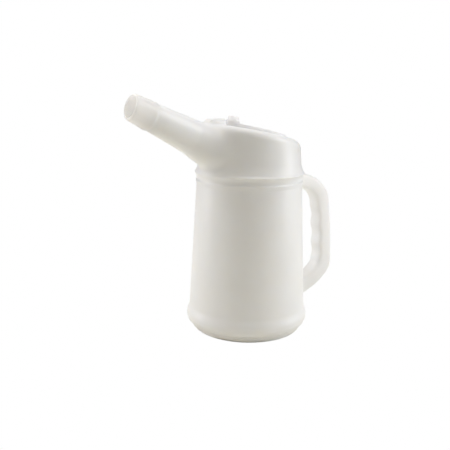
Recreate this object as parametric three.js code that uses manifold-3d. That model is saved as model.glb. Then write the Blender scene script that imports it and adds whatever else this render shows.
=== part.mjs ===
// Plastic oil jug: a blown body with a slanted hood, a long pouring spout and a hollow
// handle, closed by a lid that swings sideways on a stud.
// Millimetres, +Z up. The origin is the middle of the underside, the spout points to -X
// and the handle to +X, and the plane y = 0 halves the jug.
import * as THREE from 'three';
import { mergeVertices } from 'three/addons/utils/BufferGeometryUtils.js';
import Module from 'manifold-3d';

// Body wall and foot
const WALL = 2;
const BASE_RADIUS = 63;
const BASE_EDGE = 4;
const FOOT_CREST = { radius: 68.2, z: 18 };
const FOOT_CREASE = { inset: 0.6, z: 12 };
const FOOT_CREST_ROUNDING = 0.1;
const FOOT_TOP_Z = 29;
const WALL_RADIUS_AT_FOOT = 65.4;
const WALL_RADIUS_AT_BEAD = 58.4;

// Bead round the neck of the body
const BEAD_Z = 178.5;
const BEAD_RADIUS = 61;
const BEAD_RISE = 13;
const BEAD_DROP = 9;

// Hood and its slanted seat for the lid
const HOOD_RADIUS = 56.6;
const HOOD_TOP_RADIUS = 55.6;
const SHOULDER = 9;
const SEAT_Z = 222.4;
const SEAT_ANGLE = THREE.MathUtils.degToRad(11.9);

// Spout: the mouth, the collar behind it, the cone and the root in the hood
const MOUTH = { x: -145.2, z: 250.1, radius: 13.3, tilt: THREE.MathUtils.degToRad(17) };
const SPOUT_ANGLE = THREE.MathUtils.degToRad(24.3);
const COLLAR_LENGTH = 24;
const COLLAR_RADIUS = 15.1;
const COLLAR_STEP = 0.8;
const CONE_LENGTH = 51;
const CONE_END_RADIUS = 18.3;
const CONE_END_SPREAD = 0.4;
const MOUTH_LIP = 0.9;

// Where the spout's cone opens into the hood: for each section its place along x, how far its
// middle drops below the cone's end, its half height, half width and share of the spout's angle
const ROOT_SECTIONS = [
  { x: -68.5, drop: 4.3, height: 20.8, width: 21.8, lean: 0.8 },
  { x: -61, drop: 8, height: 23.2, width: 26, lean: 0.55 },
  { x: -54, drop: 11.5, height: 24.5, width: 30.5, lean: 0.3 },
  { x: -46, drop: 15, height: 24.5, width: 35.5, lean: 0 },
  { x: -34, drop: 18, height: 22, width: 38, lean: 0 },
];

// Rib that runs from the spout to the lid's stud and stops the lid
const RIB_TOP_Z = 237.3;
const RIB_FRONT_X = -60;
const RIB_WIDTH = 12;
const RIB_EDGE = 1.5;

// Handle: the middle line of a closed tube, from the bead down to the foot, and its section,
// which is a rounded square that grows towards both roots
const HANDLE_LINE = [
  [48, 168], [66, 167.5], [84, 163.5], [98, 156], [106.5, 143], [109, 125], [111, 105],
  [113, 85], [114.5, 66], [110.5, 52.5], [97, 43.5], [78, 34.5], [62, 27.5], [48, 22],
];
const HANDLE_DEPTH = 19;
const HANDLE_WIDTH = 19;
const HANDLE_ROUNDNESS = 0.72;
const HANDLE_ROOT_SHARE = 0.28;
const HANDLE_ROOT_GROWTH = 8;
const UPPER_ROOT_GROWTH = 0.3;
const FINGER_PITCH = 23;
const FINGER_DEPTH = 2.2;
const FINGER_TOP_Z = 136;
const FINGER_COUNT = 4;

// Lid, filling hole and stud
const STUD_U = -25.6;
const FILL_U = 12.4;
const FILL_RADIUS = 22;
const LID_OVERLAP = 8;
const LID_PLATE = 2;
const LID_RIM_HEIGHT = 3.6;
const LID_RIM_WIDTH = 2.2;
const LID_GAP = 0.3;
const HUB_RADIUS = 7.8;
const HUB_TOP_RADIUS = 7.2;
const HUB_HEIGHT = 8;
const STUD_HEAD_RADIUS = 6;
const STUD_HEAD_HEIGHT = 3.8;
const STUD_RADIUS = 3;
const STUD_FIT = 0.3;
const STUD_BARB_RADIUS = 4.4;
const STUD_BARB_LENGTH = 5;
const STUD_STOP_GAP = 1.2;

// Facets round each form
const BODY_SIDES = 60;
const SPOUT_SIDES = 32;
const HANDLE_SIDES = 20;
const SMALL_SIDES = 32;

const wasm = await Module();
wasm.setup();

const seatSlope = Math.tan(SEAT_ANGLE);
const seatZ = (x) => SEAT_Z - seatSlope * x;

// A closed geometry as a solid for cutting and joining.
function solid(geometry) {
  const bare = geometry.clone();
  bare.deleteAttribute('normal');
  bare.deleteAttribute('uv');
  const merged = mergeVertices(bare, 1e-4);
  return new wasm.Manifold(new wasm.Mesh({
    numProp: 3,
    vertProperties: new Float32Array(merged.attributes.position.array),
    triVerts: new Uint32Array(merged.index.array),
  }));
}

function geometryOf(body) {
  const mesh = body.getMesh();
  const geometry = new THREE.BufferGeometry();
  geometry.setAttribute('position', new THREE.BufferAttribute(new Float32Array(mesh.vertProperties), 3));
  geometry.setIndex(new THREE.BufferAttribute(new Uint32Array(mesh.triVerts), 1));
  geometry.computeVertexNormals();
  return geometry;
}

// Skin over a row of rings with equal point counts, closed by a fan at each end. Rings run
// anticlockwise when they are seen from the end of the row.
function loft(rings) {
  const count = rings[0].length;
  const points = rings.flat();
  const faces = [];
  for (let i = 0; i + 1 < rings.length; i += 1) {
    for (let j = 0; j < count; j += 1) {
      const a = i * count + j;
      const b = i * count + (j + 1) % count;
      faces.push(a, b, b + count, a, b + count, a + count);
    }
  }
  const first = points.push(middle(rings[0])) - 1;
  const last = points.push(middle(rings.at(-1))) - 1;
  const start = (rings.length - 1) * count;
  for (let j = 0; j < count; j += 1) {
    const next = (j + 1) % count;
    faces.push(first, next, j, last, start + j, start + next);
  }
  const geometry = new THREE.BufferGeometry().setFromPoints(points);
  geometry.setIndex(faces);
  return geometry;
}

function middle(ring) {
  const sum = new THREE.Vector3();
  ring.forEach((point) => sum.add(point));
  return sum.divideScalar(ring.length);
}

// Body: one profile of rings, level up to the bead and turned into the seat's slope above it.
// A ring is a radius, a height over the axis and a share of the seat's slope.
function bodyProfile(inset) {
  const rings = [];
  const level = (radius, z) => rings.push({ radius: radius - inset, z, slope: 0 });
  for (const turn of [0, 30, 60, 90]) {
    const angle = THREE.MathUtils.degToRad(turn);
    const radius = BASE_RADIUS - BASE_EDGE * (1 - Math.sin(angle));
    level(radius, inset + BASE_EDGE * (1 - Math.cos(angle)));
  }
  level(FOOT_CREST.radius - FOOT_CREASE.inset, FOOT_CREASE.z);
  level(FOOT_CREST.radius - FOOT_CREST_ROUNDING, (FOOT_CREASE.z + FOOT_CREST.z) / 2);
  for (let i = 0; i <= 6; i += 1) {
    const blend = (1 - Math.cos(Math.PI * i / 6)) / 2;
    level(THREE.MathUtils.lerp(FOOT_CREST.radius, WALL_RADIUS_AT_FOOT, blend),
      THREE.MathUtils.lerp(FOOT_CREST.z, FOOT_TOP_Z, i / 6));
  }
  const bead = (radius, reach) => {
    const side = Math.sign(reach);
    for (let i = 0; i <= 4; i += 1) {
      const share = side < 0 ? 1 - i / 4 : (i + 1) / 5;
      const blend = (1 + Math.cos(Math.PI * share)) / 2;
      level(THREE.MathUtils.lerp(radius, BEAD_RADIUS, blend), BEAD_Z + reach * share);
    }
  };
  bead(WALL_RADIUS_AT_BEAD, -BEAD_DROP);
  bead(HOOD_RADIUS, BEAD_RISE);
  for (let i = 0; i <= 5; i += 1) {
    const angle = Math.PI / 2 * i / 5;
    rings.push({
      radius: HOOD_TOP_RADIUS - inset - (SHOULDER - inset) * (1 - Math.cos(angle)),
      z: SEAT_Z - inset / Math.cos(SEAT_ANGLE) - (SHOULDER - inset) * (1 - Math.sin(angle)),
      slope: seatSlope,
    });
  }
  return rings;
}

function bodyShape(inset) {
  return loft(bodyProfile(inset).map(({ radius, z, slope }) => {
    const ring = [];
    for (let j = 0; j < BODY_SIDES; j += 1) {
      const angle = 2 * Math.PI * j / BODY_SIDES;
      const x = radius * Math.cos(angle);
      ring.push(new THREE.Vector3(x, radius * Math.sin(angle), z - slope * x));
    }
    return ring;
  }));
}

// Spout: each section is an ellipse given by its middle, its half height, its half width
// and how far it leans back from upright.
function spoutSections() {
  const along = (distance) => [
    MOUTH.x + distance * Math.cos(SPOUT_ANGLE),
    MOUTH.z - distance * Math.sin(SPOUT_ANGLE),
  ];
  const section = ([x, z], height, width, lean) => ({ x, z, height, width, lean });
  const cone = COLLAR_LENGTH + CONE_LENGTH;
  const afterCollar = COLLAR_RADIUS - COLLAR_STEP;
  const rootZ = along(cone)[1];
  return [
    section(along(0), MOUTH.radius - MOUTH_LIP, MOUTH.radius - MOUTH_LIP, MOUTH.tilt),
    section(along(MOUTH_LIP), MOUTH.radius, MOUTH.radius, MOUTH.tilt),
    section(along(COLLAR_LENGTH - COLLAR_STEP), COLLAR_RADIUS, COLLAR_RADIUS, SPOUT_ANGLE),
    section(along(COLLAR_LENGTH + COLLAR_STEP), afterCollar, afterCollar, SPOUT_ANGLE),
    section(along(COLLAR_LENGTH + CONE_LENGTH / 2), (afterCollar + CONE_END_RADIUS) / 2,
      (afterCollar + CONE_END_RADIUS) / 2, SPOUT_ANGLE),
    section(along(cone), CONE_END_RADIUS, CONE_END_RADIUS + CONE_END_SPREAD, SPOUT_ANGLE),
    ...ROOT_SECTIONS.map(({ x, drop, height, width, lean }) => (
      section([x, rootZ - drop], height, width, SPOUT_ANGLE * lean))),
  ];
}

function spoutShape(inset) {
  const rings = spoutSections().map(({ x, z, height, width, lean }, i) => {
    const ring = [];
    const out = inset > 0 && i === 0 ? WALL : 0;
    for (let j = 0; j < SPOUT_SIDES; j += 1) {
      const angle = 2 * Math.PI * j / SPOUT_SIDES;
      const up = (height - inset) * Math.cos(angle);
      ring.push(new THREE.Vector3(
        x - out + up * Math.sin(lean),
        (width - inset) * Math.sin(angle),
        z + up * Math.cos(lean),
      ));
    }
    return ring.reverse();
  });
  return loft(rings);
}

// Rib: an upright bar with a level top and a round end round the lid's hub.
function ribShape(inset) {
  const end = new THREE.Vector2(seatX(STUD_U) - HUB_RADIUS - STUD_STOP_GAP - inset, 0);
  const half = RIB_WIDTH / 2 - inset;
  const outline = new THREE.Shape();
  outline.moveTo(RIB_FRONT_X, -half);
  outline.lineTo(end.x - half, -half);
  outline.absarc(end.x - half, 0, half, -Math.PI / 2, Math.PI / 2);
  outline.lineTo(RIB_FRONT_X, half);
  outline.closePath();
  const edge = RIB_EDGE;
  const foot = seatZ(end.x) - SHOULDER;
  const geometry = new THREE.ExtrudeGeometry(outline, {
    depth: RIB_TOP_Z - inset - foot - edge,
    bevelSize: edge,
    bevelThickness: edge,
    bevelOffset: -edge,
    bevelSegments: 2,
    curveSegments: 8,
  });
  return geometry.translate(0, 0, foot);
}

const seatX = (u) => u * Math.cos(SEAT_ANGLE);

// Handle: the middle line leaves the bead, drops to the corner and returns above the foot.
function handleLine() {
  const points = HANDLE_LINE.map(([x, z]) => new THREE.Vector3(x, 0, z));
  return new THREE.CatmullRomCurve3(points, false, 'centripetal');
}

// Depth taken from the inner side of the grip by the finger hollows.
function fingerCut(z) {
  const bottom = FINGER_TOP_Z - FINGER_PITCH * FINGER_COUNT;
  if (z > FINGER_TOP_Z || z < bottom) {
    return 0;
  }
  return FINGER_DEPTH * Math.sin(Math.PI * (FINGER_TOP_Z - z) / FINGER_PITCH) ** 2;
}

function handleShape(inset, steps, sides) {
  const line = handleLine();
  const rings = [];
  for (let i = 0; i <= steps; i += 1) {
    const share = i / steps;
    const point = line.getPointAt(share);
    const ahead = line.getTangentAt(share);
    const outward = new THREE.Vector3(-ahead.z, 0, ahead.x);
    const nearRoot = Math.max(0, Math.abs(share - 0.5) * 2 - 1 + HANDLE_ROOT_SHARE) / HANDLE_ROOT_SHARE;
    const growth = HANDLE_ROOT_GROWTH * nearRoot ** 2;
    const low = share > 0.5 ? 1 : UPPER_ROOT_GROWTH;
    const depth = HANDLE_DEPTH / 2 + growth * low - inset;
    const width = HANDLE_WIDTH / 2 + growth * 0.5 - inset;
    const cut = share > 0.5 && point.x < 100 ? 0 : fingerCut(point.z);
    const ring = [];
    for (let j = 0; j < sides; j += 1) {
      const angle = 2 * Math.PI * j / sides;
      const c = Math.cos(angle);
      const s = Math.sin(angle);
      const away = Math.sign(c) * Math.abs(c) ** HANDLE_ROUNDNESS * depth;
      const inner = c < 0 ? cut * -c : 0;
      ring.push(point.clone()
        .addScaledVector(outward, away + inner)
        .add(new THREE.Vector3(0, Math.sign(s) * Math.abs(s) ** HANDLE_ROUNDNESS * width, 0)));
    }
    rings.push(ring.reverse());
  }
  return loft(rings);
}

// A disc or ring on the seat: the profile's height is measured square to the seat.
function onSeat(geometry, u) {
  return geometry
    .rotateX(Math.PI / 2)
    .translate(u, 0, 0)
    .rotateY(SEAT_ANGLE)
    .translate(0, 0, SEAT_Z);
}

function turned(profile, sides) {
  return new THREE.LatheGeometry(profile.map(([radius, height]) => new THREE.Vector2(radius, height)), sides);
}

function plug(radius, low, high, u) {
  return solid(onSeat(turned([[0, low], [radius, low], [radius, high], [0, high]], SMALL_SIDES), u));
}

function jugBody() {
  const outside = solid(bodyShape(0))
    .add(solid(spoutShape(0)))
    .add(solid(ribShape(0)))
    .add(solid(handleShape(0, 46, HANDLE_SIDES)));
  const inside = solid(bodyShape(WALL))
    .add(solid(spoutShape(WALL)))
    .add(solid(handleShape(WALL, 28, 12)));
  return outside
    .subtract(inside)
    .subtract(plug(FILL_RADIUS, -SHOULDER, SHOULDER, FILL_U))
    .subtract(plug(STUD_RADIUS + STUD_FIT, -SHOULDER, SHOULDER, STUD_U));
}

// Lid: a drop-shaped plate with a rim that turns down, and a hub round the stud.
function dropOutline(inset) {
  const distance = FILL_U - STUD_U;
  const eye = HUB_RADIUS - inset;
  const cover = FILL_RADIUS + LID_OVERLAP - inset;
  const lean = Math.acos((eye - cover) / distance);
  const outline = new THREE.Shape();
  outline.absarc(distance, 0, cover, -lean, lean);
  outline.absarc(0, 0, eye, lean, 2 * Math.PI - lean);
  return outline;
}

function lidSolid() {
  const flat = (outline, low, high) => solid(new THREE.ExtrudeGeometry(outline, {
    depth: high - low, bevelEnabled: false, curveSegments: 20,
  }).translate(STUD_U, 0, low).rotateY(SEAT_ANGLE).translate(0, 0, SEAT_Z));
  const rim = LID_GAP + LID_RIM_HEIGHT;
  const plate = flat(dropOutline(0), LID_GAP, rim)
    .subtract(flat(dropOutline(LID_RIM_WIDTH), 0, rim - LID_PLATE));
  const hub = turned([
    [0, LID_GAP], [HUB_RADIUS, LID_GAP], [HUB_RADIUS, LID_GAP + HUB_HEIGHT * 0.55],
    [HUB_TOP_RADIUS, LID_GAP + HUB_HEIGHT], [0, LID_GAP + HUB_HEIGHT],
  ], SMALL_SIDES);
  return plate
    .add(solid(onSeat(hub, STUD_U)))
    .subtract(plug(STUD_RADIUS + STUD_FIT, 0, 2 * HUB_HEIGHT, STUD_U));
}

// Stud: a button head over the hub, a shank through hub and seat, and a barb under the seat.
function studShape() {
  const head = LID_GAP + HUB_HEIGHT + LID_GAP;
  const top = head + STUD_HEAD_HEIGHT;
  const under = -WALL / Math.cos(SEAT_ANGLE) - LID_GAP;
  return onSeat(turned([
    [0, under - STUD_BARB_LENGTH],
    [STUD_RADIUS - 0.6, under - STUD_BARB_LENGTH],
    [STUD_BARB_RADIUS, under - 1],
    [STUD_BARB_RADIUS, under],
    [STUD_RADIUS, under],
    [STUD_RADIUS, head],
    [STUD_HEAD_RADIUS, head],
    [STUD_HEAD_RADIUS, top - 0.8],
    [STUD_HEAD_RADIUS - 0.8, top],
    [0, top],
  ], SMALL_SIDES), STUD_U);
}

function piece(name, geometry, colour, roughness) {
  const material = new THREE.MeshStandardMaterial({ color: colour, roughness, metalness: 0 });
  const mesh = new THREE.Mesh(geometry, material);
  mesh.name = name;
  return mesh;
}

const jug = new THREE.Group();
jug.add(
  piece('jug_body', geometryOf(jugBody()), '#e8e6e0', 0.45),
  piece('lid', geometryOf(lidSolid()), '#eeece8', 0.4),
  piece('lid_stud', studShape(), '#f2f1ee', 0.4),
);

export default jug;
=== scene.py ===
import math

import bmesh
import bpy
from mathutils import Matrix, Vector
from mathutils.bvhtree import BVHTree


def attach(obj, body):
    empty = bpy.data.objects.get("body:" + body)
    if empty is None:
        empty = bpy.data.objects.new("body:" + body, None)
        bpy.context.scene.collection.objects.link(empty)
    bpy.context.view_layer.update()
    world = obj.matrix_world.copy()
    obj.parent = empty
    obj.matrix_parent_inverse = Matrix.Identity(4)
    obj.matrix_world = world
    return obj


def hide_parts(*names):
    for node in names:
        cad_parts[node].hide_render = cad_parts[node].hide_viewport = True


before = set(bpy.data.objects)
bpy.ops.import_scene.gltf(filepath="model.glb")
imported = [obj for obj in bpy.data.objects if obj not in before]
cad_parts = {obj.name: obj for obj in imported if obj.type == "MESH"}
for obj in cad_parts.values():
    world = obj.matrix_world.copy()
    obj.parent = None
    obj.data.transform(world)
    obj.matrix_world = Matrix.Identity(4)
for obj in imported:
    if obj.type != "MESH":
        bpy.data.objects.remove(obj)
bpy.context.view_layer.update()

# Jug body: one piece, blown from a tube of natural polyethylene inside a two-part mould.
# Body, hood, spout, rib and handle are one skin about 2 mm thick, so every form runs into
# the next with a soft fillet, and the mould leaves a fine line along the plane y = 0.

MM = 0.001
WALL = 2.0


def mix(a, b, share):
    return a + (b - a) * share


def loft(name, rings):
    """Closed skin over a row of rings in millimetres, with a fan at each end."""
    count = len(rings[0])
    points = [Vector(p) for ring in rings for p in ring]
    faces = []
    for i in range(len(rings) - 1):
        for j in range(count):
            a, b = i * count + j, i * count + (j + 1) % count
            faces.append((a, b, b + count, a + count))
    last = (len(rings) - 1) * count
    points.append(sum((Vector(p) for p in rings[0]), Vector()) / count)
    points.append(sum((Vector(p) for p in rings[-1]), Vector()) / count)
    for j in range(count):
        nxt = (j + 1) % count
        faces.append((len(points) - 2, nxt, j))
        faces.append((len(points) - 1, last + j, last + nxt))
    mesh = bpy.data.meshes.new(name)
    mesh.from_pydata([p * MM for p in points], [], faces)
    made = bpy.data.objects.new(name, mesh)
    bpy.context.scene.collection.objects.link(made)
    work = bmesh.new()
    work.from_mesh(mesh)
    bmesh.ops.recalc_face_normals(work, faces=work.faces)
    work.to_mesh(mesh)
    work.free()
    return made


def circle(sides):
    """Cosine and sine of each corner of a ring."""
    return [(math.cos(2 * math.pi * j / sides), math.sin(2 * math.pi * j / sides)) for j in range(sides)]


def quarter(steps):
    """A rounded edge of radius 1: how far each step lies inside its side and below its top."""
    turns = [math.pi / 2 * i / steps for i in range(steps + 1)]
    return [(1 - math.cos(turn), 1 - math.sin(turn)) for turn in turns]


# Base and foot: the flat underside's round edge, a crease, a crest and the wall above it.
BASE_RADIUS = 63.0
BASE_EDGE = 8.5
FOOT_CREASE = (66.6, 10.5)
FOOT_CREST = (68.2, 18.0)
FOOT_BULGE = 0.85
FOOT_TOP_Z = 29.0
WALL_RADIUS_AT_FOOT = 65.4


def foot_profile(inset, fine):
    edge = BASE_EDGE - inset
    rings = [(BASE_RADIUS - edge * below - inset, inset + edge * inside, 0) for inside, below in quarter(fine)]
    rings.append((FOOT_CREASE[0] - inset, FOOT_CREASE[1], 0))
    rings.append((mix(FOOT_CREASE[0], FOOT_CREST[0], FOOT_BULGE) - inset,
                  (FOOT_CREASE[1] + FOOT_CREST[1]) / 2, 0))
    for i in range(2 * fine + 1):
        share = i / (2 * fine)
        blend = (1 - math.cos(math.pi * share)) / 2
        rings.append((mix(FOOT_CREST[0], WALL_RADIUS_AT_FOOT, blend) - inset,
                      mix(FOOT_CREST[1], FOOT_TOP_Z, share), 0))
    return rings


# Bead: a crisp crest with a hollow under it and a fine ridge below, given by how far it stands
# out of the wall and how far it lies under the bead's foot. The crest's edge is given by how
# far it draws in and rises, and the wall flares from the hood down to it.
WALL_RADIUS_AT_BEAD = 58.4
BEAD_Z = 178.5
BEAD_RADIUS = 61.0
BEAD_RISE = 13.0
BEAD_DROP = 7.4
BEAD_HOLLOW = 2.2
BEAD_FOOT = (0.1, 0.4)
RIDGE = ((0.2, 5.6), (1.0, 1.6), (0.9, 1.1), (0.0, 0.0))
CREST_EDGE = ((0.1, 0.4), (0.5, 0.9), (1.5, 1.8))
FLARE = 1.7
HOOD_RADIUS = 56.6


def bead_profile(inset, fine):
    rings = [(WALL_RADIUS_AT_BEAD + out - inset, BEAD_Z - BEAD_DROP - fall, 0) for out, fall in RIDGE]
    for i in range(fine + 1):
        share = 1 - i / fine
        blend = 1 - (1 - share) ** BEAD_HOLLOW
        rings.append((mix(BEAD_RADIUS, WALL_RADIUS_AT_BEAD + BEAD_FOOT[0], blend) - inset,
                      BEAD_Z - (BEAD_DROP - BEAD_FOOT[1]) * share, 0))
    for inward, rise in CREST_EDGE:
        rings.append((BEAD_RADIUS - inward - inset, BEAD_Z + rise, 0))
    inward, rise = CREST_EDGE[-1]
    for i in range(1, 2 * fine + 1):
        share = i / (2 * fine)
        rings.append((mix(HOOD_RADIUS, BEAD_RADIUS - inward, (1 - share) ** FLARE) - inset,
                      mix(BEAD_Z + rise, BEAD_Z + BEAD_RISE, share), 0))
    return rings


# Hood: its round shoulder follows the slanted seat for the lid.
HOOD_TOP_RADIUS = 55.6
SHOULDER = 9.0
SEAT_Z = 222.4
SEAT_ANGLE = math.radians(11.9)
SEAT_SLOPE = math.tan(SEAT_ANGLE)


def body_profile(inset, fine):
    """Rings of the body as radius, height over the axis and share of the seat's slope."""
    edge = SHOULDER - inset
    top = SEAT_Z - inset / math.cos(SEAT_ANGLE)
    shoulder = [(HOOD_TOP_RADIUS - inset - edge * inside, top - edge * below, SEAT_SLOPE)
                for inside, below in quarter(2 * fine)]
    return [*foot_profile(inset, fine), *bead_profile(inset, fine), *shoulder]


def body_shape(name, inset, sides, fine):
    return loft(name, [
        [(radius * c, radius * s, z - slope * (radius * c)) for c, s in circle(sides)]
        for radius, z, slope in body_profile(inset, fine)
    ])


# Spout: mouth, plain collar, cone and a root that opens into the hood. Each section of the
# root has its x, its drop under the cone's end, half height, half width and share of the lean.
MOUTH_X = -145.2
MOUTH_Z = 250.1
MOUTH_RADIUS = 13.3
MOUTH_TILT = math.radians(17)
MOUTH_LIP = 0.9
SPOUT_ANGLE = math.radians(24.3)
COLLAR_LENGTH = 24.0
COLLAR_RADIUS = 15.1
COLLAR_STEP = 0.8
CONE_LENGTH = 51.0
CONE_END_RADIUS = 18.3
SPOUT_ROOT = [
    (-68.5, 4.3, 20.2, 20.6, 0.8), (-61.0, 8.0, 22.4, 23.8, 0.55), (-54.0, 11.5, 23.8, 28.0, 0.3),
    (-46.0, 15.0, 24.4, 33.5, 0.0), (-34.0, 18.0, 22.0, 38.0, 0.0),
]


def along_spout(distance):
    return MOUTH_X + distance * math.cos(SPOUT_ANGLE), MOUTH_Z - distance * math.sin(SPOUT_ANGLE)


def spout_sections():
    """Sections from mouth to root: middle x and z, half height, half width and lean."""
    cone = COLLAR_LENGTH + CONE_LENGTH
    after = COLLAR_RADIUS - COLLAR_STEP
    middle = (after + CONE_END_RADIUS) / 2
    stations = [
        (0, MOUTH_RADIUS - MOUTH_LIP, MOUTH_TILT),
        (MOUTH_LIP, MOUTH_RADIUS, MOUTH_TILT),
        (COLLAR_LENGTH - COLLAR_STEP, COLLAR_RADIUS, SPOUT_ANGLE),
        (COLLAR_LENGTH + COLLAR_STEP, after, SPOUT_ANGLE),
        (COLLAR_LENGTH + CONE_LENGTH / 2, middle, SPOUT_ANGLE),
        (cone, CONE_END_RADIUS, SPOUT_ANGLE),
    ]
    root_z = along_spout(cone)[1]
    return [
        *((*along_spout(distance), radius, radius, lean) for distance, radius, lean in stations),
        *((x, root_z - drop, height, width, SPOUT_ANGLE * share)
          for x, drop, height, width, share in SPOUT_ROOT),
    ]


def spout_shape(name, inset, sides):
    rings = []
    for i, (x, z, height, width, lean) in enumerate(spout_sections()):
        out = WALL if inset and i == 0 else 0
        rings.append([(x - out + (height - inset) * c * math.sin(lean), (width - inset) * s,
                       z + (height - inset) * c * math.cos(lean)) for c, s in circle(sides)])
    return loft(name, rings)


SPLINE_STEPS = 24


def spline(points, steps):
    """Centripetal Catmull-Rom curve cut into equal lengths: pairs of a place and its share of
    the way from point to point."""
    ends = [points[0] * 2 - points[1], *points, points[-1] * 2 - points[-2]]
    dense = []
    for i in range(1, len(ends) - 2):
        p0, p1, p2, p3 = ends[i - 1:i + 3]
        t1 = (p1 - p0).length ** 0.5
        t2 = t1 + (p2 - p1).length ** 0.5
        t3 = t2 + (p3 - p2).length ** 0.5
        for k in range(SPLINE_STEPS):
            t = mix(t1, t2, k / SPLINE_STEPS)
            a1 = p0 * ((t1 - t) / t1) + p1 * (t / t1)
            a2 = p1 * ((t2 - t) / (t2 - t1)) + p2 * ((t - t1) / (t2 - t1))
            a3 = p2 * ((t3 - t) / (t3 - t2)) + p3 * ((t - t2) / (t3 - t2))
            b1 = a1 * ((t2 - t) / t2) + a2 * (t / t2)
            b2 = a2 * ((t3 - t) / (t3 - t1)) + a3 * ((t - t1) / (t3 - t1))
            dense.append(b1 * ((t2 - t) / (t2 - t1)) + b2 * ((t - t1) / (t2 - t1)))
    dense.append(points[-1])
    lengths = [0.0]
    for a, b in zip(dense, dense[1:]):
        lengths.append(lengths[-1] + (b - a).length)
    out = []
    k = 0
    for i in range(steps + 1):
        want = lengths[-1] * i / steps
        while k + 2 < len(lengths) and lengths[k + 1] < want:
            k += 1
        share = min((want - lengths[k]) / (lengths[k + 1] - lengths[k]), 1.0)
        out.append((dense[k].lerp(dense[k + 1], share), (k + share) / SPLINE_STEPS))
    return out


# Handle: x, z and depth of the tube's middle line from the bead down to the foot. Its section
# is a square with round corners that grows at both roots, with hollows for the fingers.
HANDLE_LINE = [
    (48, 166, 17), (70.9, 164.9, 16.8), (86, 161.1, 16.8), (97.8, 153.3, 17.4), (105, 143, 19),
    (108, 127.5, 20), (110.4, 107, 20.2), (112.0, 88, 21), (112.7, 72.6, 21.2), (112.2, 58.7, 22.4),
    (103.6, 49, 20.7), (87.1, 39, 20.1), (68.3, 32.4, 20.1), (48, 24, 20.1),
]
HANDLE_WIDTH = 19.0
HANDLE_ROUNDNESS = 0.5
HANDLE_ROOT_GROWTH = 8.0
HANDLE_ROOT_SHARE = 0.14
FINGER_PITCH = 23.4
FINGER_DEPTH = 2.2
FINGER_TOP_Z = 133.5
FINGER_COUNT = 3


def finger_cut(z):
    """Depth taken from the inner side of the grip by the finger hollows."""
    if z > FINGER_TOP_Z or z < FINGER_TOP_Z - FINGER_PITCH * FINGER_COUNT:
        return 0.0
    return FINGER_DEPTH * math.sin(math.pi * (FINGER_TOP_Z - z) / FINGER_PITCH) ** 2


def rounded(value):
    return math.copysign(abs(value) ** HANDLE_ROUNDNESS, value)


def handle_shape(name, inset, steps, sides):
    line = spline([Vector((x, 0, z)) for x, z, depth in HANDLE_LINE], steps)
    rings = []
    for i, (point, place) in enumerate(line):
        ahead = (line[min(i + 1, steps)][0] - line[max(i - 1, 0)][0]).normalized()
        outward = Vector((-ahead.z, 0, ahead.x))
        to_end = min(i, steps - i) / steps
        growth = HANDLE_ROOT_GROWTH * max(0.0, 1 - to_end / HANDLE_ROOT_SHARE) ** 2
        before = min(int(place), len(HANDLE_LINE) - 2)
        own_depth = mix(HANDLE_LINE[before][2], HANDLE_LINE[before + 1][2], place - before)
        depth = (own_depth + growth) / 2 - inset
        width = (HANDLE_WIDTH + growth) / 2 - inset
        cut_depth = finger_cut(point.z)
        ring = []
        for c, s in circle(sides):
            away, across = rounded(c), rounded(s)
            ring.append(point + outward * (away * depth + max(0.0, -away) * cut_depth)
                        + Vector((0, across * width, 0)))
        rings.append(ring)
    return loft(name, rings)


# Rib: it runs from the spout to the lid's hub and stops the lid from turning too far.
RIB_TOP_Z = 237.3
RIB_FRONT_X = -63.0
RIB_WIDTH = 12.0
RIB_EDGE = 1.5
RIB_RAMP = 9.0
RIB_RAMP_RISE = 5.0
RAMP_STEPS = 6
END_STEPS = 16
STUD_U = -25.6
HUB_RADIUS = 7.8
STUD_STOP_GAP = 1.2


def rib_shape(name):
    """Upright bar with a level top, a ramp up from the spout and a round end at the hub."""
    half = RIB_WIDTH / 2
    end = STUD_U * math.cos(SEAT_ANGLE) - HUB_RADIUS - STUD_STOP_GAP
    low = SEAT_Z - SEAT_SLOPE * end - SHOULDER

    def ring(top, shrink):
        def height(x):
            climb = max(0.0, min(1.0, (x - RIB_FRONT_X) / RIB_RAMP))
            return top - RIB_RAMP_RISE * (1 - climb)
        row = [RIB_FRONT_X + shrink + RIB_RAMP * k / RAMP_STEPS for k in range(RAMP_STEPS + 1)]
        out = [(x, half - shrink, height(x)) for x in row[::-1]]
        out += [(x, shrink - half, height(x)) for x in row]
        for i in range(1, END_STEPS):
            turn = -math.pi / 2 + math.pi * i / END_STEPS
            x = end - half + (half - shrink) * math.cos(turn)
            out.append((x, (half - shrink) * math.sin(turn), height(x)))
        return out

    foot = [(x, y, low) for x, y, z in ring(RIB_TOP_Z, 0)]
    edge = [ring(RIB_TOP_Z - RIB_EDGE * below, RIB_EDGE * inside) for inside, below in quarter(4)]
    return loft(name, [foot, *edge])


def settle(piece):
    """Turn the piece's modifiers into plain mesh."""
    graph = bpy.context.evaluated_depsgraph_get()
    mesh = bpy.data.meshes.new_from_object(piece.evaluated_get(graph))
    piece.modifiers.clear()
    piece.data = mesh
    return piece


def bool_with(piece, tool, operation):
    step = piece.modifiers.new("bool", "BOOLEAN")
    step.operation = operation
    step.solver = "MANIFOLD"
    step.object = tool
    settle(piece)
    bpy.data.objects.remove(tool)


def on_seat(u, v, height):
    """A point u along the slope, v across it and square off the lid's seat."""
    return Vector((u * math.cos(SEAT_ANGLE) + height * math.sin(SEAT_ANGLE), v,
                   SEAT_Z - u * math.sin(SEAT_ANGLE) + height * math.cos(SEAT_ANGLE)))


def turned_on_seat(name, profile, u, sides=64):
    """Turned solid standing square on the seat; the profile is radius and height."""
    return loft(name, [[on_seat(u + radius * c, radius * s, height) for c, s in circle(sides)]
                       for radius, height in profile])


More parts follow.
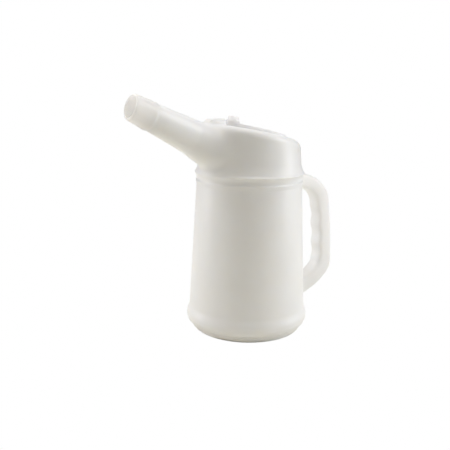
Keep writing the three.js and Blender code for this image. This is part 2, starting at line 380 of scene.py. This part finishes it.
def ramp(value, low, high):
    """0 below low and 1 above high, with an even S between them."""
    share = max(0.0, min(1.0, (value - low) / (high - low)))
    return share * share * (3 - 2 * share)


def cut_lines(mesh, planes):
    """Give the skin an edge line where each plane meets it, so that a crease stays crisp."""
    work = bmesh.new()
    work.from_mesh(mesh)
    for place, normal, reach in planes:
        near = [f for f in work.faces if abs((f.calc_center_median() - place).dot(normal)) < reach]
        verts = {v for f in near for v in f.verts}
        edges = {e for f in near for e in f.edges}
        bmesh.ops.bisect_plane(work, geom=[*verts, *edges, *near], dist=1e-6,
                               plane_co=place, plane_no=normal)
    work.to_mesh(mesh)
    work.free()


def radius_at(profile, z):
    """Radius of the upright part of the profile at a height."""
    for (r0, z0, _), (r1, z1, _) in zip(profile, profile[1:]):
        if z0 <= z <= z1:
            return mix(r0, r1, (z - z0) / (z1 - z0)) if z1 > z0 else r1
    return profile[-1][0]


# The forms are wrapped in one even skin. It is smoothed where two forms meet, most at the root
# of the spout, and elsewhere it is drawn back onto the form that it wraps.
SKIN_VOXEL = 1.45 * MM
SKIN_SMOOTHING = 4
FILLET_SMOOTHING = 14
FILLET_REACH = (1.5, 6.0)
ROOT_SMOOTHING = 90
ROOT_REACH = (5.0, 24.0)
FINE = 12

forms = [
    body_shape("body_form", 0, 320, FINE),
    spout_shape("spout_form", 0, 128),
    rib_shape("rib_form"),
    handle_shape("handle_form", 0, 220, 64),
]
trees = []
skin = bmesh.new()
for form in forms:
    skin.from_mesh(form.data)
    own = bmesh.new()
    own.from_mesh(form.data)
    trees.append(BVHTree.FromBMesh(own))
    own.free()
    bpy.data.objects.remove(form)
jug_mesh = bpy.data.meshes.new("blown_jug")
skin.to_mesh(jug_mesh)
skin.free()
jug = bpy.data.objects.new("blown_jug", jug_mesh)
bpy.context.scene.collection.objects.link(jug)
one_skin = jug.modifiers.new("one_skin", "REMESH")
one_skin.mode = "VOXEL"
one_skin.voxel_size = SKIN_VOXEL
settle(jug)

# Creases of foot and bead get their own lines in the skin.
profile = body_profile(0, FINE)
creased = [(FOOT_CREASE[1] - 1, FOOT_CREST[1]), (BEAD_Z - BEAD_DROP - 6, BEAD_Z + 2)]
heights = [z for r, z, slope in profile if slope == 0 and any(low < z < high for low, high in creased)]
cut_lines(jug.data, [(Vector((0, 0, z * MM)), Vector((0, 0, 1)), 1.6 * MM) for z in heights])

groups = {name: jug.vertex_groups.new(name=name) for name in ("fillet", "root", "even")}
hold = []
for vertex in jug.data.vertices:
    hits = [tree.find_nearest(vertex.co)[3] / MM for tree in trees]
    order = sorted(range(len(trees)), key=lambda k: hits[k])
    at_root = order[0] < 2 and order[1] < 2
    loose = 1 - ramp(hits[order[1]], *(ROOT_REACH if at_root else FILLET_REACH))
    groups["root" if at_root else "fillet"].add([vertex.index], loose, "REPLACE")
    on_body = order[0] == 0 and vertex.co.z < (BEAD_Z + BEAD_RISE) * MM
    groups["even"].add([vertex.index], loose if on_body else 1.0, "REPLACE")
    hold.append((1 - loose, on_body and vertex.co.z > BASE_EDGE * MM))
for name, rounds in (("even", SKIN_SMOOTHING), ("fillet", FILLET_SMOOTHING), ("root", ROOT_SMOOTHING)):
    soften = jug.modifiers.new(name, "SMOOTH")
    soften.factor = 0.5
    soften.iterations = rounds
    soften.vertex_group = name
settle(jug)
for vertex, (share, upright) in zip(jug.data.vertices, hold):
    if share <= 0:
        continue
    if upright:
        flat = vertex.co.xy
        flat = flat * (radius_at(profile, vertex.co.z / MM) * MM / flat.length)
        target = Vector((flat.x, flat.y, vertex.co.z))
    else:
        hits = [tree.find_nearest(vertex.co) for tree in trees]
        target = min(hits, key=lambda hit: hit[3])[0]
    vertex.co = vertex.co.lerp(target, share)
jug.vertex_groups.clear()

# Inside of body and spout, the filling hole under the lid and the hole for the lid's stud.
FILL_U = 12.4
FILL_RADIUS = 22.0
STUD_HOLE = 3.3

bool_with(jug, body_shape("body_space", WALL, 128, 4), "DIFFERENCE")
bool_with(jug, spout_shape("spout_space", WALL, 64), "DIFFERENCE")
for name, radius, u, sides in (("fill_hole", FILL_RADIUS, FILL_U, 96), ("stud_hole", STUD_HOLE, STUD_U, 32)):
    bool_with(jug, turned_on_seat(name, [(radius, -SHOULDER), (radius, SHOULDER)], u, sides), "DIFFERENCE")
jug.data.shade_smooth()
jug.data.set_sharp_from_angle(angle=math.radians(38))


def linear(hex_colour):
    """sRGB hex to the linear colour that a shader takes."""
    out = []
    for i in (1, 3, 5):
        value = int(hex_colour[i:i + 2], 16) / 255
        out.append(value / 12.92 if value <= 0.04045 else ((value + 0.055) / 1.055) ** 2.4)
    return (*out, 1.0)


def node(tree, kind, settings=(), links=()):
    """One node with its settings, by name or socket, and the links that come into it."""
    made = tree.nodes.new(kind)
    for key, value in dict(settings).items():
        if isinstance(key, str) and hasattr(made, key):
            setattr(made, key, value)
        else:
            made.inputs[key].default_value = value
    for key, source in dict(links).items():
        tree.links.new(source, made.inputs[key])
    return made


CLOUD = 34 * MM
FLOW = 22 * MM
SHEEN = (0.28, 0.42)
RELIEF = 0.35 * MM
SCATTER = 2.0 * MM
PARTING_LINE = (0.15 * MM, 0.7 * MM)
THIN_MOUTH = (-0.112, -0.13, 0.45)
THIN_HANDLE = (0.066, 0.09, 0.28)


def polyethylene(name, colour, thick, grain_mm, through, blown):
    """Natural polyethylene, blown or moulded: milky, so part of the light comes through the
    wall and the rest spreads under a satin skin that copies the blasted mould. A blown wall
    also shows the mould's parting line and is thinner at the spout's mouth and the handle."""
    material = bpy.data.materials.new(name)
    material.use_nodes = True
    tree = material.node_tree
    tree.nodes.clear()
    place = node(tree, "ShaderNodeTexCoord").outputs["Object"]
    cloud = node(tree, "ShaderNodeTexNoise", {"Scale": 1 / CLOUD, "Detail": 3.0, "Roughness": 0.5},
                 {"Vector": place})
    tint = node(tree, "ShaderNodeMix", {"data_type": "RGBA"})
    tree.links.new(cloud.outputs["Fac"], tint.inputs[0])
    tint.inputs[6].default_value = linear(thick)
    tint.inputs[7].default_value = linear(colour)
    fine = node(tree, "ShaderNodeTexNoise", {"Scale": 1 / (grain_mm * MM), "Detail": 2.0}, {"Vector": place})
    sheen = node(tree, "ShaderNodeMapRange", {"To Min": SHEEN[0], "To Max": SHEEN[1]},
                 {"Value": fine.outputs["Fac"]})
    flow = node(tree, "ShaderNodeTexNoise", {"Scale": 1 / FLOW, "Detail": 1.0}, {"Vector": place})
    rise = node(tree, "ShaderNodeMath", {"operation": "MULTIPLY", 1: 0.1}, {0: fine.outputs["Fac"]})
    height = node(tree, "ShaderNodeMath", {"operation": "ADD"}, {0: rise.outputs[0], 1: flow.outputs["Fac"]})
    if blown:
        across = node(tree, "ShaderNodeSeparateXYZ", (), {"Vector": place})
        away = node(tree, "ShaderNodeMath", {"operation": "ABSOLUTE"}, {0: across.outputs["Y"]})
        line = node(tree, "ShaderNodeMapRange",
                    {"interpolation_type": "SMOOTHSTEP", "From Min": PARTING_LINE[0],
                     "From Max": PARTING_LINE[1], "To Min": 0.55, "To Max": 0.0}, {"Value": away.outputs[0]})
        height = node(tree, "ShaderNodeMath", {"operation": "ADD"}, {0: height.outputs[0], 1: line.outputs[0]})
    bump = node(tree, "ShaderNodeBump", {"Strength": 0.5, "Distance": RELIEF}, {"Height": height.outputs[0]})
    skin = node(tree, "ShaderNodeBsdfPrincipled",
                {"IOR": 1.5, "Subsurface Weight": 0.35, "Subsurface Radius": (1.0, 0.9, 0.75),
                 "Subsurface Scale": SCATTER, "Specular IOR Level": 0.5},
                {"Base Color": tint.outputs[2], "Roughness": sheen.outputs[0], "Normal": bump.outputs[0]})
    passed = node(tree, "ShaderNodeBsdfTranslucent", (), {"Color": tint.outputs[2], "Normal": bump.outputs[0]})
    wall = node(tree, "ShaderNodeMixShader", {0: through}, {1: skin.outputs[0], 2: passed.outputs[0]})
    if blown:
        thin = [node(tree, "ShaderNodeMapRange",
                     {"From Min": start, "From Max": end, "To Min": through, "To Max": most},
                     {"Value": across.outputs["X"]}).outputs[0]
                for start, end, most in (THIN_MOUTH, THIN_HANDLE)]
        most = node(tree, "ShaderNodeMath", {"operation": "MAXIMUM"}, {0: thin[0], 1: thin[1]})
        tree.links.new(most.outputs[0], wall.inputs[0])
    node(tree, "ShaderNodeOutputMaterial", (), {"Surface": wall.outputs[0]})
    return material


def finish(piece, material, body, slot, *nodes):
    piece.data.materials.clear()
    piece.data.materials.append(material)
    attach(piece, body)
    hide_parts(*nodes)


finish(jug, polyethylene("blown_polyethylene", "#f3f3f3", "#efedea", 1.3, 0.09, True), "jug", "body_plastic",
       "jug_body")


# Lid: one moulded drop-shaped plate of the same polyethylene. Its rim turns down to the
# seat, its hub stands round the stud, and its edges are rounded by the mould.

LID_OVERLAP = 8.0
LID_PLATE = 1.8
LID_HIGH_END = 4.8
LID_LOW_END = 2.9
LID_EDGE = 1.1
LID_RIM_WIDTH = 2.2
LID_GAP = 0.3
HUB_TOP_RADIUS = 7.2
HUB_TAPER = 1.6
HUB_HEIGHT = 7.4
HUB_EDGE = 0.9


def drop_outline(inset):
    """Outline round the filling hole and the hub, as offsets from the stud along u and v."""
    distance = FILL_U - STUD_U
    eye = HUB_RADIUS - inset
    cover = FILL_RADIUS + LID_OVERLAP - inset
    lean = math.acos((eye - cover) / distance)
    outline = []
    for middle, radius, start, end, steps in ((distance, cover, -lean, lean, 64),
                                              (0, eye, lean, 2 * math.pi - lean, 32)):
        for i in range(steps + 1):
            turn = mix(start, end, i / steps)
            outline.append((middle + radius * math.cos(turn), radius * math.sin(turn)))
    return outline


def lid_top(distance):
    """Height of the lid's upper side over the seat at a distance from the stud."""
    reach = FILL_U - STUD_U + FILL_RADIUS + LID_OVERLAP
    return LID_GAP + mix(LID_HIGH_END, LID_LOW_END, distance / reach)


def drop_shape(name, steps):
    """Stacked drop outlines; each step is an inset and a height, or a drop from the lid's top."""
    rings = []
    for inset, level, drop in steps:
        rings.append([on_seat(STUD_U + u, v, level if drop is None else lid_top(u) - drop)
                      for u, v in drop_outline(inset)])
    return loft(name, rings)


lid = drop_shape("moulded_lid", [
    (0, LID_GAP, None), *((LID_EDGE * inside, None, LID_EDGE * below) for inside, below in quarter(5)),
])
bool_with(lid, drop_shape("lid_hollow", [(LID_RIM_WIDTH, 0, None), (LID_RIM_WIDTH, None, LID_PLATE)]),
          "DIFFERENCE")
hub_top = LID_GAP + HUB_HEIGHT
bool_with(lid, turned_on_seat("lid_hub", [
    (HUB_RADIUS, LID_GAP), (HUB_RADIUS, hub_top - HUB_TAPER),
    *((HUB_TOP_RADIUS - HUB_EDGE * inside, hub_top - HUB_EDGE * below) for inside, below in quarter(4)),
], STUD_U), "UNION")
bool_with(lid, turned_on_seat("lid_bore", [(STUD_HOLE, 0), (STUD_HOLE, 2 * HUB_HEIGHT)], STUD_U), "DIFFERENCE")
lid.data.shade_smooth()
lid.data.set_sharp_from_angle(angle=math.radians(35))
finish(lid, polyethylene("moulded_polyethylene", "#f3f3f3", "#efeeee", 0.9, 0.55, False), "lid",
       "lid_plastic", "lid")


# Stud: a moulded button with a flat head and a barb, pushed through the hub and the seat
# until it snaps. The head's edge is rounded and its middle carries the gate's mark.

STUD_RADIUS = 3.0
STUD_TIP_RADIUS = 2.4
STUD_HEAD_RADIUS = 6.0
STUD_HEAD_HEIGHT = 3.8
STUD_HEAD_BEVEL = 0.3
STUD_EDGE = 0.8
STUD_BARB_RADIUS = 4.4
STUD_BARB_LENGTH = 5.0
STUD_BARB_STEP = 1
GATE = ((1.6, 0), (1.3, 0.35))

head_low = LID_GAP + HUB_HEIGHT + LID_GAP
head_top = head_low + STUD_HEAD_HEIGHT
barb_top = -WALL / math.cos(SEAT_ANGLE) - LID_GAP
stud = turned_on_seat("button_stud", [
    (STUD_TIP_RADIUS, barb_top - STUD_BARB_LENGTH),
    (STUD_BARB_RADIUS, barb_top - STUD_BARB_STEP),
    (STUD_BARB_RADIUS, barb_top),
    (STUD_RADIUS, barb_top),
    (STUD_RADIUS, head_low),
    (STUD_HEAD_RADIUS - STUD_HEAD_BEVEL, head_low),
    (STUD_HEAD_RADIUS, head_low + STUD_HEAD_BEVEL),
    *((STUD_HEAD_RADIUS - STUD_EDGE * inside, head_top - STUD_EDGE * below) for inside, below in quarter(5)),
    *((radius, head_top - depth) for radius, depth in GATE),
], STUD_U)
stud.data.shade_smooth()
stud.data.set_sharp_from_angle(angle=math.radians(35))
finish(stud, polyethylene("white_polyethylene", "#f3f3f3", "#f0efef", 0.7, 0.55, False), "jug",
       "stud_plastic", "lid_stud")


# Studio: a white table and backdrop, broad soft lights at both sides, behind and overhead,
# and none from the front, so that the round milky wall is darkest in its middle.

def white_table(name, colour):
    """Matt white for the light that bounces off it, and plain white where the camera sees it."""
    material = bpy.data.materials.new(name)
    material.use_nodes = True
    tree = material.node_tree
    tree.nodes.clear()
    matt = node(tree, "ShaderNodeBsdfDiffuse", {"Color": linear(colour)})
    glow = node(tree, "ShaderNodeEmission", {"Color": (1, 1, 1, 1), "Strength": 1.0})
    rays = node(tree, "ShaderNodeLightPath")
    shown = node(tree, "ShaderNodeMixShader", (),
                 {0: rays.outputs["Is Camera Ray"], 1: matt.outputs[0], 2: glow.outputs[0]})
    node(tree, "ShaderNodeOutputMaterial", (), {"Surface": shown.outputs[0]})
    return material


bpy.ops.mesh.primitive_plane_add(size=6, location=(0, 0, 0))
table = bpy.context.object
table.name = "table"
table.data.materials.append(white_table("table_white", "#f5f2e7"))

world = bpy.data.worlds.new("studio")
bpy.context.scene.world = world
world.use_nodes = True
tree = world.node_tree
tree.nodes.clear()
rays = node(tree, "ShaderNodeLightPath")
seen = node(tree, "ShaderNodeMath", {"operation": "MAXIMUM"},
            {0: rays.outputs["Is Camera Ray"], 1: rays.outputs["Is Transmission Ray"]})
strength = node(tree, "ShaderNodeMapRange", {"To Min": 0.0, "To Max": 1.0}, {"Value": seen.outputs[0]})
sky = node(tree, "ShaderNodeBackground", {"Color": (1, 1, 1, 1)}, {"Strength": strength.outputs[0]})
node(tree, "ShaderNodeOutputWorld", (), {"Surface": sky.outputs[0]})

AIM = Vector((0, 0, 0.12))


def lamp(name, azimuth, elevation, distance, size, power, colour="#ffffff"):
    """Square area lamp aimed at the jug; azimuth 0 stands in front of it, at -Y."""
    a, e = math.radians(azimuth), math.radians(elevation)
    place = AIM + distance * Vector((math.sin(a) * math.cos(e), -math.cos(a) * math.cos(e), math.sin(e)))
    light = bpy.data.lights.new(name, "AREA")
    light.shape = "SQUARE"
    light.size = size
    light.energy = power
    light.color = linear(colour)[:3]
    made = bpy.data.objects.new(name, light)
    made.location = place
    made.rotation_euler = (AIM - place).to_track_quat("-Z", "Y").to_euler()
    bpy.context.scene.collection.objects.link(made)


CAMERA_AZIMUTH = -37.0
lamp("left_low", CAMERA_AZIMUTH - 98, 4, 1.5, 0.8, 6.7, "#f8f9ff")
lamp("left_high", CAMERA_AZIMUTH - 104, 38, 1.5, 0.8, 11.4, "#fbfbff")
lamp("right_low", CAMERA_AZIMUTH + 94, 0, 1.5, 0.8, 8.9, "#f6f9ff")
lamp("right_high", CAMERA_AZIMUTH + 92, 35, 1.5, 0.8, 11.0, "#f6f9ff")
lamp("back_light", CAMERA_AZIMUTH + 180, 50, 1.6, 1.4, 6.0, "#f8fbff")
lamp("top_light", CAMERA_AZIMUTH, 71, 1.6, 1.4, 15.5, "#fffbf3")


# Camera: placed as the photograph's, found from the round bead and foot of the jug.

CAMERA_DISTANCE = 0.7176
CAMERA_HEIGHT = 0.2692
CAMERA_PITCH = math.radians(11.97)
CAMERA_ROLL = math.radians(0.94)
FOCAL_PIXELS = 650.0
FRAME_PIXELS = 450.0
AXIS_PIXEL = 248.7

turn = math.atan((AXIS_PIXEL - FRAME_PIXELS / 2) * math.cos(CAMERA_PITCH) / FOCAL_PIXELS)
azimuth = math.radians(CAMERA_AZIMUTH)
camera_data = bpy.data.cameras.new("camera")
camera_data.sensor_width = 36.0
camera_data.lens = camera_data.sensor_width * FOCAL_PIXELS / FRAME_PIXELS
camera_data.shift_x = -0.5 / FRAME_PIXELS
camera_data.shift_y = 0.5 / FRAME_PIXELS
camera = bpy.data.objects.new("camera", camera_data)
place = Vector((CAMERA_DISTANCE * math.sin(azimuth), -CAMERA_DISTANCE * math.cos(azimuth), CAMERA_HEIGHT))
camera.matrix_world = (
    Matrix.Translation(place)
    @ Matrix.Rotation(azimuth + turn, 4, "Z")
    @ Matrix.Rotation(math.pi / 2 - CAMERA_PITCH, 4, "X")
    @ Matrix.Rotation(CAMERA_ROLL, 4, "Z")
)
bpy.context.scene.collection.objects.link(camera)
bpy.context.scene.camera = camera
bpy.context.scene.view_settings.view_transform = "Standard"
